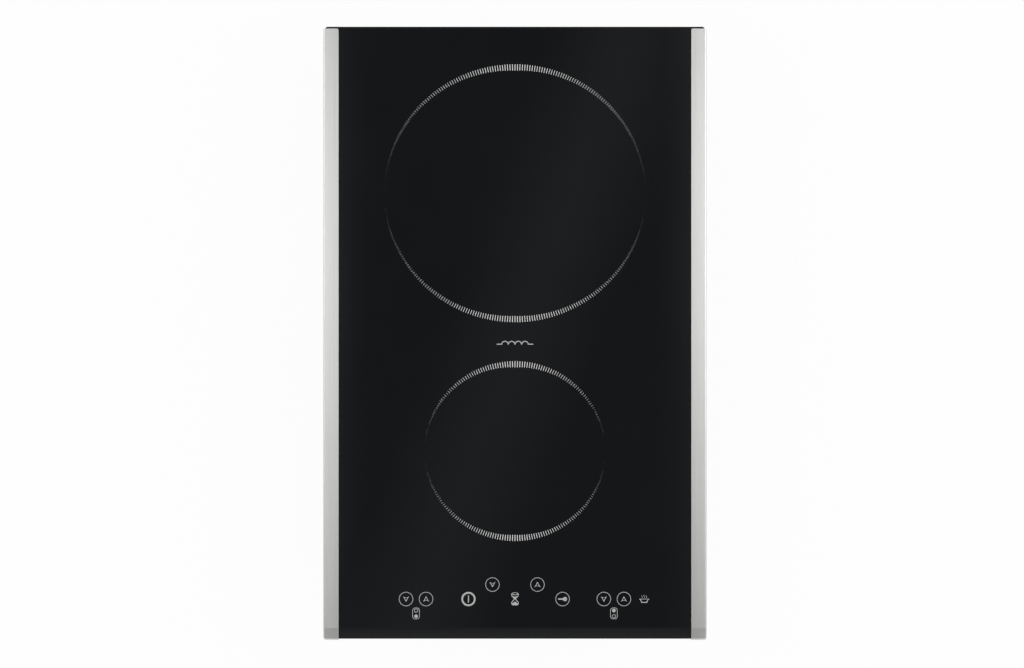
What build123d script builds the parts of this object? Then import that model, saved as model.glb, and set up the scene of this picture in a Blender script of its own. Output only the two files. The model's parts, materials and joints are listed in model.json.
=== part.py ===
from build123d import *
import os
from collections import namedtuple
from math import cos, radians, sin, sqrt, tan

# A built-in induction cooktop with two cooking zones: a black glass plate between two steel side
# trims, over a pressed pan that hangs in the worktop cut-out and holds the coils and electronics.
# Millimetres. +Z is up and +Y points to the back. The origin is the middle of the object in plan,
# level with the underside of the pan.

# Overall sizes
overall_width = 310.0
overall_depth = 496.0
pan_depth = 50.0  # worktop surface above the underside of the pan

# Glass plate
glass_thickness = 4.0
bevel_width = 9.0  # ground slope along the front edge
bevel_drop = 2.4
arris = 1.0
corner_clip = 1.2

# Side trims
trim_wall = 1.6
trim_cap = 0.8  # wall that closes the front end
trim_flange_width = 12.4
trim_flange = 1.2
trim_edge_radius = 1.4
trim_front_radius = 2.0
trim_rear_radius = 1.2
trim_setback = 1.6  # glass that shows behind the rear end
trim_foot_gap = 0.3
trim_glue_gap = 0.15

# Rim under the glass
sheet = 0.8  # pan and frame metal
rim_side = 26.0  # glass past the pan at the sides
rim_end = 15.5  # glass past the pan at the front and back
seal_inset = 1.5
seal_gap = 1.0
frame_overhang = 4.5
frame_lip = 12.0
frame_gap = 0.6
lip_clearance = 0.2
bond_thickness = 0.8
bond_inset = 0.9

# Base pan
pan_fold = 2.5
bead_width = 6.0
bead_depth = 1.2
bead_spacing = 80.0
bead_end_gap = 20.0
bead_clip = 2.0
vent_width = 3.0
vent_length = 18.0
vent_pitch = 10.0
vent_height = 22.0  # middle of the wall vents above the underside
front_vent_count = 15
rear_vent_count = 11
rear_vent_x = 42.0
floor_vent_count = 13
floor_vent_pitch = 13.0
grille_pitch = 6.0
grille_rib = 4.0

# Hexagon-head screws between the pan and the frame
screw_radius = 1.5
screw_head_radius = 3.2
screw_head_height = 1.8
screw_tip = 4.0
screw_clearance = 0.1
pan_screw_count = 3
pan_screw_end = 34.0

# Small round forms that repeat have flat sides
round_side_count = 12

# Worktop clamps
clamp_spacing = 280.0
clamp_axis = 6.4  # screw axis outside the pan wall
clamp_side_gap = 0.4
clamp_screw_radius = 2.5
clamp_head_radius = 4.6
clamp_head_height = 2.4
clamp_rest_height = 0.6  # screw head above the underside of the pan
clamp_play = 0.1
clamp_hole_play = 0.25
thread_clearance = 0.08
thread_engagement = 3.4
washer_width = 10.4
washer_clip = 2.0
washer_thickness = 1.0
tab_thickness = 2.0
tab_length = 30.0
tab_tooth = 4.0
tab_bend = 1.2
bracket_sheet = 1.5
bracket_width = 22.0
bracket_leg = 12.0
bracket_edge = 5.2
weld_nut_width = 9.0
weld_nut_height = 2.6
bracket_clearance = 0.6
screw_end_clearance = 0.6

# Coil sets, large zone at the back and small zone at the front
large_winding_radius = 94.0
small_winding_radius = 64.0
room_behind = 0.205  # shares of the room that the two coils leave free
room_in_front = 0.275
winding_bore = 26.0
winding_height = 3.5
mica_thickness = 0.5
mica_bore = 6.0
mica_clip = 40.0
former_disc = 2.0
former_edge = 2.3  # disc past the winding
former_window = 9.0
former_bore = 9.0
ferrite_count = 8
ferrite_height = 3.5
large_ferrite_width = 15.0
small_ferrite_width = 11.0
ferrite_inset = 4.0
ferrite_gap = 0.2
ferrite_rib = 1.2
sensor_radius = 5.0
sensor_flange = 8.4
sensor_flange_height = 1.5

# Coil plate and its brackets
plate_thickness = 1.5
plate_gap = 3.0
plate_hole = 5.5
stand_width = 14.0
stand_depth = 16.0
stand_sheet = 1.2
stand_inset = 1.0
stand_tab_width = 8.0
stand_tab_height = 3.0
stand_tab_gap = 0.3
aisle_gap = 4.0

# Coil leads
lead_width = 8.0
lead_thickness = 3.0
lead_gap = 0.8
lead_inset = 8.0
lead_shift = 10.0
lead_bend = 6.0
lead_drop = 14.0

# Power board and its tray
tray_foot = 3.2
tray_foot_width = 9.0
tray_foot_inset = 9.0
tray_floor = 2.0
tray_rim = 6.0
tray_wall = 1.6
tray_margin = 3.0
board_length = 220.0
board_thickness = 1.6
board_standoff = 4.0
boss_width = 7.0
boss_inset = 7.0
hook_width = 8.0
hook_height = 2.5
hook_bite = 1.5
sink_base = 5.0
sink_headroom = 7.6  # free height between the fins and the coil plate
sink_length = 150.0
sink_fins = 8
sink_fin = 1.8
sink_margin = 4.0
transistor_count = 5
transistor_width = 16.0
transistor_thickness = 5.0
transistor_headroom = 8.6
transistor_leg = 3.0
transistor_leg_width = 1.2
transistor_pitch = 29.0
capacitor_size = (30.0, 17.0)
capacitor_headroom = 9.6
capacitor_edge = 1.5
capacitor_gap = 16.0
choke_size = (38.0, 16.0)
choke_headroom = 3.6
choke_leg = 10.0  # core limbs, and the middle limb under the winding
choke_winding = 7.0
choke_margin = 14.0

# Blower
impeller_radius = 30.0
blade_inner = 21.0
blade_count = 15
blade_sweep = 15.0  # degrees between the inner and outer ends of a blade
blade_bow = 4.0  # degrees that its middle lags behind
blade_spread = 3.0  # degrees of blade thickness
impeller_disc = 1.2
blade_inset = 0.6
impeller_gap = 1.5
hub_shell = 1.5
hub_floor = 2.0
motor_radius = 12.0
motor_flat_count = 12
motor_height = 12.0
motor_gap = 1.5
shaft_radius = 1.5
shaft_end_gap = 1.0
bearing_wall = 1.7
bearing_clearance = 0.05
bearing_fit = 0.02
volute_gap = 2.0
volute_step = 4.0
volute_outlet = 10.0
blower_wall = 1.6
blower_height = 22.0
blower_foot = 3.0
blower_back_gap = 8.0
inlet_radius = 24.0
clip_width = 8.0
clip_height = 1.4
clip_bite = 1.5
clip_gap = 0.2
foot_width = 7.0
peg_width = 4.0
peg_gap = 0.2

# Touch controls, the key places set out from the front edge and the middle of the glass
key_row = 32.0
timer_row = 43.6
zone_key_x = 80.0
zone_key_pitch = 16.2
timer_key_x = 18.2
side_key_x = 38.0
contact_width = 9.0
contact_height = 7.0
control_board_depth = 38.0
control_board_thickness = 1.6
control_gap = 3.0
control_tray_depth = 5.0
control_tray_floor = 2.0
control_tray_wall = 1.6
control_leg_width = 7.0
control_leg_inset = 6.0
display_row = 15.5  # zone displays behind the key row
zone_display = (13.0, 15.0)
timer_display = (20.0, 14.0)
buzzer_width = 11.0
buzzer_clip = 2.0
buzzer_height = 5.0
buzzer_x = -58.0
ribbon_width = 20.0
ribbon_thickness = 1.0
ribbon_bend = 5.0
ribbon_drop = 6.0
ribbon_landing = 10.0
ribbon_window = 3.0

# Mains inlet at the rear left
gland_height = 22.0
cable_radius = 5.0
gland_wall = 3.0
gland_flange_radius = 11.0
gland_flange = 3.0
gland_fit = 0.15
nut_across = 20.0
nut_thickness = 5.0
terminal_size = (56.0, 22.0, 18.0)
terminal_wells = 5
terminal_well = 7.0
terminal_well_depth = 9.0
inlet_gap = 4.0
saddle_depth = 10.0
saddle_width = 34.0
saddle_strap = 4.0

Rect = namedtuple("Rect", "x0 y0 x1 y1")
UP = (Align.CENTER, Align.CENTER, Align.MIN)


def grow(rect, by):
    return Rect(rect.x0 - by, rect.y0 - by, rect.x1 + by, rect.y1 + by)


def middle(rect):
    return (rect.x0 + rect.x1) / 2, (rect.y0 + rect.y1) / 2


def spread(count, pitch):
    """Places of a row of equal steps about zero."""
    return [(i - (count - 1) / 2) * pitch for i in range(count)]


# Heights of the layers, from the pan upwards and from the glass downwards
flange_z0 = pan_depth + frame_gap
flange_z1 = flange_z0 + sheet
glass_z0 = flange_z1 + bond_thickness
glass_z1 = glass_z0 + glass_thickness
mica_z0 = glass_z0 - mica_thickness
winding_z0 = mica_z0 - winding_height
disc_z0 = winding_z0 - former_disc
plate_z1 = disc_z0 - ferrite_height
plate_z0 = plate_z1 - plate_thickness
tray_z0 = sheet + tray_foot
tray_z1 = tray_z0 + tray_floor
board_z0 = tray_z1 + board_standoff
board_z1 = board_z0 + board_thickness
board_room = plate_z0 - board_z1
sink_height = board_room - sink_headroom
transistor_height = board_room - transistor_headroom - transistor_leg
capacitor_height = board_room - capacitor_headroom
choke_height = board_room - choke_headroom
control_z1 = glass_z0 - contact_height
control_z0 = control_z1 - control_board_thickness
control_tray_z1 = control_z0 - control_tray_depth
control_tray_z0 = control_tray_z1 - control_tray_floor
ribbon_z = control_tray_z0 - ribbon_drop

# Plan outlines
front_y = -overall_depth / 2
glass_half = overall_width / 2 - trim_wall - trim_glue_gap
glass = Rect(-glass_half, front_y + trim_cap + trim_glue_gap, glass_half, overall_depth / 2)
bevel_y = glass.y0 + bevel_width
pan = Rect(glass.x0 + rim_side, glass.y0 + rim_end, glass.x1 - rim_side, glass.y1 - rim_end)
pan_inside = grow(pan, -sheet)
frame_outer = grow(pan, frame_overhang)
lip_outer = grow(pan_inside, -lip_clearance)
inside = grow(lip_outer, -sheet)
seal_outer = grow(glass, -seal_inset)
seal_width = rim_end - seal_inset - frame_overhang - seal_gap
control = Rect(inside.x0 + control_gap, inside.y0 + control_gap,
               inside.x1 - control_gap, inside.y0 + control_gap + control_board_depth)
plate = Rect(inside.x0 + plate_gap, control.y1 + plate_gap, inside.x1 - plate_gap, inside.y1 - plate_gap)
key_y = glass.y0 + key_row
timer_y = glass.y0 + timer_row

# Coil places: the room left over is shared behind, between and in front of the two formers
large_former_radius = large_winding_radius + former_edge
small_former_radius = small_winding_radius + former_edge
coil_room = plate.y1 - plate.y0 - 2 * large_former_radius - 2 * small_former_radius
large_y = plate.y1 - coil_room * room_behind - large_former_radius
small_y = plate.y0 + coil_room * room_in_front + small_former_radius

# Blower at the rear right and the board tray in front of it
volute_radii = [impeller_radius + volute_gap + volute_step * (k + 0.5) for k in range(3)]
volute_centres = [(volute_step, volute_step / 2), (0, volute_step / 2), (0, -volute_step / 2)]
aisle = plate_gap + stand_inset + stand_width + aisle_gap
blower_x = inside.x1 - aisle - volute_step - volute_radii[0] - 2 * blower_wall - clip_gap
blower_y = inside.y1 - blower_back_gap - volute_step / 2 - volute_radii[1] - blower_wall
blower_z0 = sheet + blower_foot
volute_z0 = blower_z0 + blower_wall
volute_z1 = volute_z0 + blower_height
outlet_y = volute_step / 2 - volute_radii[0] - volute_outlet
tray = Rect(inside.x0 + aisle, 0, inside.x1 - aisle, blower_y + outlet_y - aisle_gap)
tray = tray._replace(y0=tray.y1 - board_length - 2 * tray_margin - 2 * tray_wall)
board = grow(tray, -tray_margin - tray_wall)

# Mains inlet, one piece behind another from the rear wall inwards
inlet_x = tray.x0 + terminal_size[0] / 2
gland_radius = cable_radius + gland_wall
saddle_y = pan_inside.y1 - nut_thickness - inlet_gap - saddle_depth / 2
terminal_y = saddle_y - saddle_depth / 2 - inlet_gap - terminal_size[1] / 2

# Clamp heights at rest, and the travel that the screw has below the rim
clamp_washer_z0 = clamp_rest_height + clamp_head_height + clamp_play
clamp_tab_z0 = clamp_washer_z0 + washer_thickness + clamp_play
clamp_tab_z1 = clamp_tab_z0 + tab_thickness
clamp_travel = (flange_z0 - screw_end_clearance - clamp_tab_z1 - bracket_clearance - thread_engagement) / 2
ear_z0 = clamp_tab_z1 + clamp_travel + bracket_clearance
tab_half = clamp_axis - clamp_side_gap


def slab(rect, z0, z1, clip=0.0):
    """A level plate over a plan outline, its corners clipped if a size is given."""
    x, y = middle(rect)
    body = block(x, y, z0, rect.x1 - rect.x0, rect.y1 - rect.y0, z1 - z0)
    return chamfer(body.edges().filter_by(Axis.Z), clip) if clip > 0 else body


def post(x, y, z0, z1, radius):
    return Pos(x, y, z0) * Cylinder(radius, z1 - z0, align=UP)


def prism(x, y, z0, z1, radius, sides=8):
    """An upright bar with flat sides, its corners on a circle."""
    return Pos(x, y, z0) * extrude(RegularPolygon(radius, sides), z1 - z0)


def bore(x, y, z0, z1, radius):
    """A hole for a screw, with flat sides that all touch a circle."""
    outline = RegularPolygon(radius, round_side_count, major_radius=False)
    return Pos(x, y, z0) * extrude(outline, z1 - z0)


def block(x, y, z0, size_x, size_y, size_z):
    return Pos(x, y, z0) * Box(size_x, size_y, size_z, align=UP)


def along_x(points, x0, x1):
    """A closed outline of (y, z) points, drawn out from x0 to x1."""
    face = Plane.YZ * make_face(Polyline(*points, close=True))
    return Pos(x0, 0, 0) * extrude(face, x1 - x0)


def screw(length):
    """A hexagon-head screw with its head standing on z = 0 and its shank below."""
    head = extrude(RegularPolygon(screw_head_radius, 6), screw_head_height)
    return head + prism(0, 0, -length, 0, screw_radius)


def save(name, *shapes):
    solids = [solid for shape in shapes for solid in shape.solids()]
    export_step(solids[0] if len(solids) == 1 else Compound(solids), f"parts/{name}.step")


# Glass, trims, seal and frame

def make_glass():
    side = along_x([(glass.y0, glass_z0), (glass.y1, glass_z0), (glass.y1, glass_z1 - arris),
                    (glass.y1 - arris, glass_z1), (bevel_y, glass_z1),
                    (glass.y0, glass_z1 - bevel_drop)], glass.x0, glass.x1)
    plan = slab(glass, glass_z0, glass_z1)
    rear_corners = plan.edges().filter_by(Axis.Z).sort_by(Axis.Y)[-2:]
    return side & chamfer(rear_corners, corner_clip)


def make_trim():
    """The right-hand trim: a flange over the glass, an outer wall, and a closed, sloped front end."""
    outer_x = overall_width / 2
    inner_x = outer_x - trim_flange_width
    rear_y = glass.y1 - trim_setback
    foot_z = pan_depth + trim_foot_gap
    top_z = glass_z1 + trim_flange
    slope = bevel_drop / bevel_width
    cap_y = front_y + trim_cap
    plan = slab(Rect(inner_x, front_y, outer_x, rear_y), foot_z, top_z)
    uprights = plan.edges().filter_by(Axis.Z)
    body = fillet(uprights.sort_by_distance((outer_x, front_y, top_z))[0], trim_front_radius)
    rear_edge = body.edges().filter_by(Axis.Z).sort_by_distance((inner_x, rear_y, top_z))[0]
    body = fillet(rear_edge, trim_rear_radius)
    body &= along_x([(front_y, foot_z), (rear_y, foot_z), (rear_y, top_z), (bevel_y, top_z),
                     (front_y, top_z - slope * (bevel_y - front_y))], inner_x, outer_x)
    top_edges = [e for e in body.faces().sort_by(Axis.X)[-1].edges()
                 if e.center().Z > foot_z + trim_flange and abs(e.tangent_at(0.5).Y) > 0.5]
    body = fillet(top_edges, trim_edge_radius)
    return body - along_x([(cap_y, 0), (overall_depth, 0), (overall_depth, glass_z1), (bevel_y, glass_z1),
                           (cap_y, glass_z1 - slope * (bevel_y - cap_y))], 0, outer_x - trim_wall)


def make_seal():
    ring = slab(seal_outer, pan_depth, glass_z0)
    return ring - slab(grow(seal_outer, -seal_width), pan_depth, glass_z0)


def make_frame():
    """A folded ring: a flange bonded under the glass and a lip that the pan is screwed to."""
    ring = slab(frame_outer, flange_z0, flange_z1)
    ring += slab(lip_outer, flange_z0 - frame_lip, flange_z1)
    ring -= slab(inside, 0, glass_z0)
    hole = 2 * (screw_radius + screw_clearance)
    return ring - [plane * Box(hole, hole, 2 * screw_tip) for plane in pan_screw_planes()]


def make_bond():
    ring = slab(grow(frame_outer, -bond_inset), flange_z1, glass_z0)
    return ring - slab(grow(inside, bond_inset), flange_z1, glass_z0)


# Base pan and its screws

def pan_screw_planes():
    """Where the screws go through the side walls, with the normal pointing out of the pan."""
    z = flange_z0 - frame_lip / 2
    pitch = (pan.y1 - pan.y0 - 2 * pan_screw_end) / (pan_screw_count - 1)
    places = [middle(pan)[1] + y for y in spread(pan_screw_count, pitch)]
    return [Plane((x, y, z), x_dir=(0, side, 0), z_dir=(side, 0, 0))
            for side, x in ((-1, pan.x0), (1, pan.x1)) for y in places]


def pan_screw_notches():
    """Slots open at the top of the wall, so that the pan drops off once the screws are loose."""
    width = 2 * (screw_radius + screw_clearance)
    return [plane * Pos(0, frame_lip / 2 - width / 2, 0) * Box(width, frame_lip, 4 * sheet)
            for plane in pan_screw_planes()]


def blower_foot_places():
    """Three places round the scroll, each with its direction, where it is clipped and stands on a foot."""
    places = []
    for centre, radius, turn in zip(volute_centres, volute_radii, (335, 45, 135)):
        axis = Pos(blower_x + centre[0], blower_y + centre[1], 0) * Rot(0, 0, turn)
        places.append(axis * Pos(radius + blower_wall, 0, 0))
    return places


def wall_vents(y, x, count):
    return [block(x + step, y, vent_height - vent_length / 2, vent_width, 4 * sheet, vent_length)
            for step in spread(count, vent_pitch)]


def floor_vents():
    x, y = middle(control)
    return [block(x + step, y, -sheet / 2, vent_width, vent_length, 2 * sheet)
            for step in spread(floor_vent_count, floor_vent_pitch)]


def inlet_grille():
    """Rows of slots under the blower that fill the circle of its impeller, with a rib down the middle."""
    rows = int((2 * impeller_radius - vent_width) / grille_pitch)
    cuts = []
    for y in spread(rows, grille_pitch):
        length = sqrt(impeller_radius ** 2 - (abs(y) + vent_width / 2) ** 2) - grille_rib / 2
        for x in spread(2, length + grille_rib):
            cuts.append(block(blower_x + x, blower_y + y, -sheet / 2, length, vent_width, 2 * sheet))
    return cuts


def make_pan():
    """A folded tub with pressed beads, vents in its walls and floor, and a grille under the blower."""
    tub = slab(pan, 0, flange_z0)
    tub = fillet(tub.edges().group_by(Axis.Z)[0], pan_fold)
    hollow = slab(pan_inside, sheet, flange_z0 + sheet)
    tub -= fillet(hollow.edges().group_by(Axis.Z)[0], pan_fold - sheet)
    x, y = middle(tray)
    half_length = (tray.y1 - tray.y0) / 2 - bead_end_gap
    for step in spread(2, bead_spacing):
        bead = Rect(x + step - bead_width / 2, y - half_length, x + step + bead_width / 2, y + half_length)
        tub += slab(grow(bead, sheet), sheet, sheet + bead_depth, bead_clip)
        tub -= slab(bead, 0, bead_depth, bead_clip)
    cuts = wall_vents(pan.y0, 0, front_vent_count) + wall_vents(pan.y1, rear_vent_x, rear_vent_count)
    cuts += floor_vents() + inlet_grille() + pan_screw_notches()
    hole = peg_width + 2 * peg_gap
    peg_hole = block(-blower_wall / 2, 0, -sheet, hole, hole, 3 * sheet)
    cuts += [place * peg_hole for place in blower_foot_places()]
    cuts.append(inlet_axis() * prism(0, 0, -2 * sheet, 2 * sheet, gland_radius + gland_fit))
    return tub - cuts


def make_pan_screws():
    return [plane * screw(screw_tip) for plane in pan_screw_planes()]


# Worktop clamps

def make_clamp_bracket():
    """An angle welded to the pan wall at the origin, with a weld nut on the ear that points to +X."""
    reach = clamp_axis + bracket_edge
    ear = slab(Rect(0, -bracket_width / 2, reach, bracket_width / 2), ear_z0, ear_z0 + bracket_sheet)
    tips = ear.edges().filter_by(Axis.Z).sort_by(Axis.X)[-2:]
    ear = chamfer(tips, bracket_edge)
    leg = block(bracket_sheet / 2, 0, ear_z0, bracket_sheet, bracket_width, bracket_leg)
    nut = block(clamp_axis, 0, ear_z0 + bracket_sheet, weld_nut_width, weld_nut_width, weld_nut_height)
    return ear + leg + nut - bore(clamp_axis, 0, 0, pan_depth, clamp_screw_radius + thread_clearance)


def make_clamp_screw():
    """The clamp screw on its own axis, hexagon head down."""
    head = Pos(0, 0, clamp_rest_height) * extrude(RegularPolygon(clamp_head_radius, 6), clamp_head_height)
    return head + post(0, 0, clamp_rest_height, ear_z0 + thread_engagement, clamp_screw_radius)


def make_clamp_washer():
    half = washer_width / 2
    plate_z1 = clamp_washer_z0 + washer_thickness
    body = slab(Rect(-half, -half, half, half), clamp_washer_z0, plate_z1, washer_clip)
    return body - bore(0, 0, 0, pan_depth, clamp_screw_radius + clamp_hole_play)


def make_clamp_tab():
    """A bent steel tab on the screw axis, stowed along +Y, with a tooth at its end."""
    strip = slab(Rect(-tab_half, 0, tab_half, tab_length), clamp_tab_z0, clamp_tab_z1)
    tooth_y = tab_length - tab_thickness / 2
    strip += block(0, tooth_y, clamp_tab_z0, 2 * tab_half, tab_thickness, tab_thickness + tab_tooth)
    bend = strip.edges().filter_by(Axis.X).sort_by_distance((0, tab_length, clamp_tab_z0))[0]
    strip = fillet(bend, tab_bend)
    strip += prism(0, 0, clamp_tab_z0, clamp_tab_z1, tab_half, round_side_count)
    return strip - bore(0, 0, 0, pan_depth, clamp_screw_radius + clamp_hole_play)


def save_clamps():
    bracket = make_clamp_bracket()
    pieces = {"clamp_screw": make_clamp_screw(), "clamp_washer": make_clamp_washer(),
              "clamp_tab": make_clamp_tab()}
    brackets = []
    for end, along in (("front", -1), ("rear", 1)):
        for hand, side, wall_x in (("left", -1, pan.x0), ("right", 1, pan.x1)):
            y = middle(pan)[1] + along * clamp_spacing / 2
            brackets.append(Pos(wall_x, y, 0) * Rot(0, 0, 0 if side > 0 else 180) * bracket)
            stow = Pos(wall_x + side * clamp_axis, y, 0) * Rot(0, 0, 0 if along < 0 else 180)
            for name, shape in pieces.items():
                save(f"{name}_{end}_{hand}", stow * shape)
    save("clamp_brackets", *brackets)


# Coil sets

def around(count, shape, offset=0.0):
    """Copies of a shape turned about the Z axis."""
    return [Rot(0, 0, 360 * (k + offset) / count) * shape for k in range(count)]


def lead_places(y, winding_radius, turns):
    """Where a coil's two leads drop between its ferrite bars."""
    reach = winding_radius - lead_inset
    return [(reach * cos(radians(turn)), y + reach * sin(radians(turn))) for turn in turns]


def lead_slot(x, y, z0, z1):
    """The cut that a lead passes through."""
    return block(x, y, z0, lead_thickness + 2 * lead_gap, lead_width + 2 * lead_gap, z1 - z0)


half_step = 180.0 / ferrite_count
large_leads = lead_places(large_y, large_winding_radius, (180 + half_step, 180 + 3 * half_step))
small_leads = lead_places(small_y, small_winding_radius, (180 - half_step, 180 - 3 * half_step))


def ferrite_span(winding_radius, ferrite_width):
    """Inner and outer ends of a bar; the inner end stops where neighbouring ribs would meet."""
    rib_half = ferrite_width / 2 + ferrite_gap + ferrite_rib
    return ferrite_inset + rib_half / tan(radians(half_step)), winding_radius - ferrite_inset


def make_former(y, winding_radius, ferrite_width, leads):
    """A moulded disc under the winding, with windows to cool it and ribs for the ferrites below."""
    body = prism(0, 0, disc_z0, winding_z0, winding_radius + former_edge, 2 * ferrite_count)
    first, last = ferrite_span(winding_radius, ferrite_width)
    rib_y = ferrite_width / 2 + ferrite_gap + ferrite_rib / 2
    rib = Pos((first + last) / 2, 0, plate_z1)
    ribs = [rib * Pos(0, side * rib_y, 0) * Box(last - first, ferrite_rib, ferrite_height, align=UP)
            for side in (-1, 1)]
    for pair in ribs:
        body += around(ferrite_count, pair)
    window = Box(last - first - 2 * former_window, former_window, 3 * former_disc)
    body -= around(ferrite_count, Pos((first + last) / 2, 0, disc_z0) * window, 0.5)
    body -= prism(0, 0, disc_z0, winding_z0, former_bore)
    slots = [lead_slot(x, y0, disc_z0 - former_disc, winding_z0) for x, y0 in leads]
    return Pos(0, y, 0) * body - slots


def make_winding(y, winding_radius):
    """The flat turns, wound as one pancake on the former."""
    return post(0, y, winding_z0, mica_z0, winding_radius) - post(0, y, winding_z0, mica_z0, winding_bore)


def make_ferrites(y, winding_radius, ferrite_width):
    first, last = ferrite_span(winding_radius, ferrite_width)
    bar = block((first + last) / 2, 0, plate_z1, last - first, ferrite_width, ferrite_height)
    return [Pos(0, y, 0) * copy for copy in around(ferrite_count, bar)]


def make_mica(y, winding_radius):
    outline = grow(Rect(0, y, 0, y), winding_radius)
    return slab(outline, mica_z0, glass_z0, mica_clip) - prism(0, y, mica_z0, glass_z0, mica_bore)


def make_sensor(y):
    """A spring-held temperature probe, from the coil plate up to the glass."""
    stem = prism(0, y, plate_z1, glass_z0, sensor_radius)
    return stem + prism(0, y, plate_z1, plate_z1 + sensor_flange_height, sensor_flange)


def make_leads(places):
    """Flat twin leads from the underside of the turns down to the power board."""
    ends = []
    for x, y in places:
        turn_z = winding_z0 - lead_drop
        path = FilletPolyline((x, y, winding_z0), (x, y, turn_z), (x + lead_shift, y, turn_z - lead_shift),
                              (x + lead_shift, y, board_z1), radius=lead_bend)
        start = Plane((x, y, winding_z0), x_dir=(1, 0, 0), z_dir=(0, 0, -1))
        ends.append(sweep(start * Rectangle(lead_thickness, lead_width), path=path))
    return ends


# Coil plate

def stand_places():
    x0 = plate.x0 + stand_inset + stand_width / 2
    y0 = plate.y0 + stand_inset + stand_depth / 2
    x1 = plate.x1 - stand_inset - stand_width / 2
    y1 = plate.y1 - stand_inset - stand_depth / 2
    return [(x, y, side) for x, side in ((x0, -1), (x1, 1)) for y in (y0, y1)]


def stand_tab(x, y, side, gap):
    """The tab of a stand that is twisted over the coil plate, or the slot for it."""
    web_x = x - side * (stand_width - stand_sheet) / 2
    return block(web_x, y, plate_z0 - gap, stand_sheet + 2 * gap, stand_tab_width + 2 * gap,
                 plate_thickness + stand_tab_height)


def make_coil_plate():
    body = slab(plate, plate_z0, plate_z1)
    body -= [lead_slot(x, y, plate_z0, plate_z1) for x, y in large_leads + small_leads]
    body -= [prism(0, y, plate_z0, plate_z1, plate_hole) for y in (large_y, small_y)]
    return body - [stand_tab(*place, stand_tab_gap) for place in stand_places()]


def make_plate_brackets():
    """Channel-shaped stands, open towards the side walls, under the corners of the coil plate."""
    height = plate_z0 - sheet
    stands = []
    for x, y, side in stand_places():
        body = block(x, y, sheet, stand_width, stand_depth, height)
        body -= block(x + side * stand_sheet, y, sheet + stand_sheet,
                      stand_width, stand_depth, height - 2 * stand_sheet)
        stands.append(body + stand_tab(x, y, side, 0))
    return stands


# Power board

def boss_places():
    spots = grow(board, -boss_inset)
    return [(x, y) for x in (spots.x0, spots.x1) for y in (spots.y0, middle(spots)[1], spots.y1)]


def make_hook(side):
    """A clip that stands on the tray wall at x = 0 and reaches over the board towards its middle."""
    arm = block(-side * tray_wall / 2, 0, tray_z1, tray_wall, hook_width, board_z1 + hook_height - tray_z1)
    reach = tray_wall + tray_margin + hook_bite
    return arm + block(-side * reach / 2, 0, board_z1, reach, hook_width, hook_height)


def make_board_tray():
    """A shallow tray on four feet, with rests under the board and clips along its two sides."""
    body = slab(tray, tray_z0, tray_z1 + tray_rim)
    body -= slab(grow(tray, -tray_wall), tray_z1, tray_z1 + tray_rim)
    feet = grow(tray, -tray_foot_inset)
    corners = [(x, y) for x in (feet.x0, feet.x1) for y in (feet.y0, feet.y1)]
    body += [block(x, y, sheet, tray_foot_width, tray_foot_width, tray_foot) for x, y in corners]
    body += [block(x, y, tray_z1, boss_width, boss_width, board_standoff) for x, y in boss_places()]
    for side, x in ((-1, tray.x0), (1, tray.x1)):
        body += [Pos(x, y, 0) * make_hook(side) for bx, y in boss_places() if bx * side > 0]
    return body


def make_power_board():
    return slab(board, board_z0, board_z1)


sink = Rect(blower_x - volute_radii[2], board.y1 - sink_margin - sink_length,
            blower_x + volute_step, board.y1 - sink_margin)


def make_heat_sink():
    """An extruded comb whose channels line up with the blower's outlet."""
    body = slab(sink, board_z1, board_z1 + sink_base)
    pitch = (sink.x1 - sink.x0 - sink_fin) / (sink_fins - 1)
    x, y = middle(sink)
    return body + [block(x + step, y, board_z1, sink_fin, sink_length, sink_height)
                   for step in spread(sink_fins, pitch)]


def make_transistors():
    """Flat power packages standing against the side of the heat sink on three legs each."""
    x = sink.x0 - transistor_thickness / 2
    package = block(0, 0, transistor_leg, transistor_thickness, transistor_width, transistor_height)
    package += [block(0, step, 0, transistor_leg_width, transistor_leg_width, transistor_leg)
                for step in spread(3, transistor_width / 3)]
    return [Pos(x, middle(sink)[1] + step, board_z1) * package
            for step in spread(transistor_count, transistor_pitch)]


def make_capacitors():
    """Box capacitors in a row down the left of the board, clear of the coil leads."""
    width, depth = capacitor_size
    case = Box(width, depth, capacitor_height, align=UP)
    case = chamfer(case.edges().filter_by(Axis.Z) + case.edges().group_by(Axis.Z)[-1], capacitor_edge)
    x = board.x0 + capacitor_gap + width / 2
    pitch = depth + capacitor_gap
    return [Pos(x, middle(board)[1] + step, board_z1) * case for step in spread(3, pitch)]


def make_choke():
    """A three-limbed core lying on the front right of the board, with the winding on its middle limb."""
    width, depth = choke_size
    x = board.x1 - choke_margin - width / 2
    y = board.y0 + choke_margin + depth / 2 + choke_winding
    window_z = board_z1 + choke_leg / 2
    window_height = choke_height - choke_leg
    core = block(x, y, board_z1, width, depth, choke_height)
    core -= block(x, y, window_z, width - choke_leg, depth, window_height)
    core += block(x, y, window_z, choke_leg, depth, window_height)
    coil = block(x, y, window_z, choke_leg + 2 * choke_winding, depth + 2 * choke_winding, window_height)
    return [core, coil - block(x, y, window_z, choke_leg, depth, window_height)]


# Blower

def volute_face():
    """The scroll in plan about the impeller's axis: three quarter arcs that widen towards the outlet."""
    arcs = [CenterArc(centre, radius, start, 90)
            for centre, radius, start in zip(volute_centres, volute_radii, (270, 0, 90))]
    tongue = arcs[0] @ 0
    end = arcs[2] @ 1
    mouth = Polyline(end, (end.X, outlet_y), (tongue.X, outlet_y), tongue)
    return make_face(arcs + [mouth])


def at_blower(shape, z):
    return Pos(blower_x, blower_y, z) * shape


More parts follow.
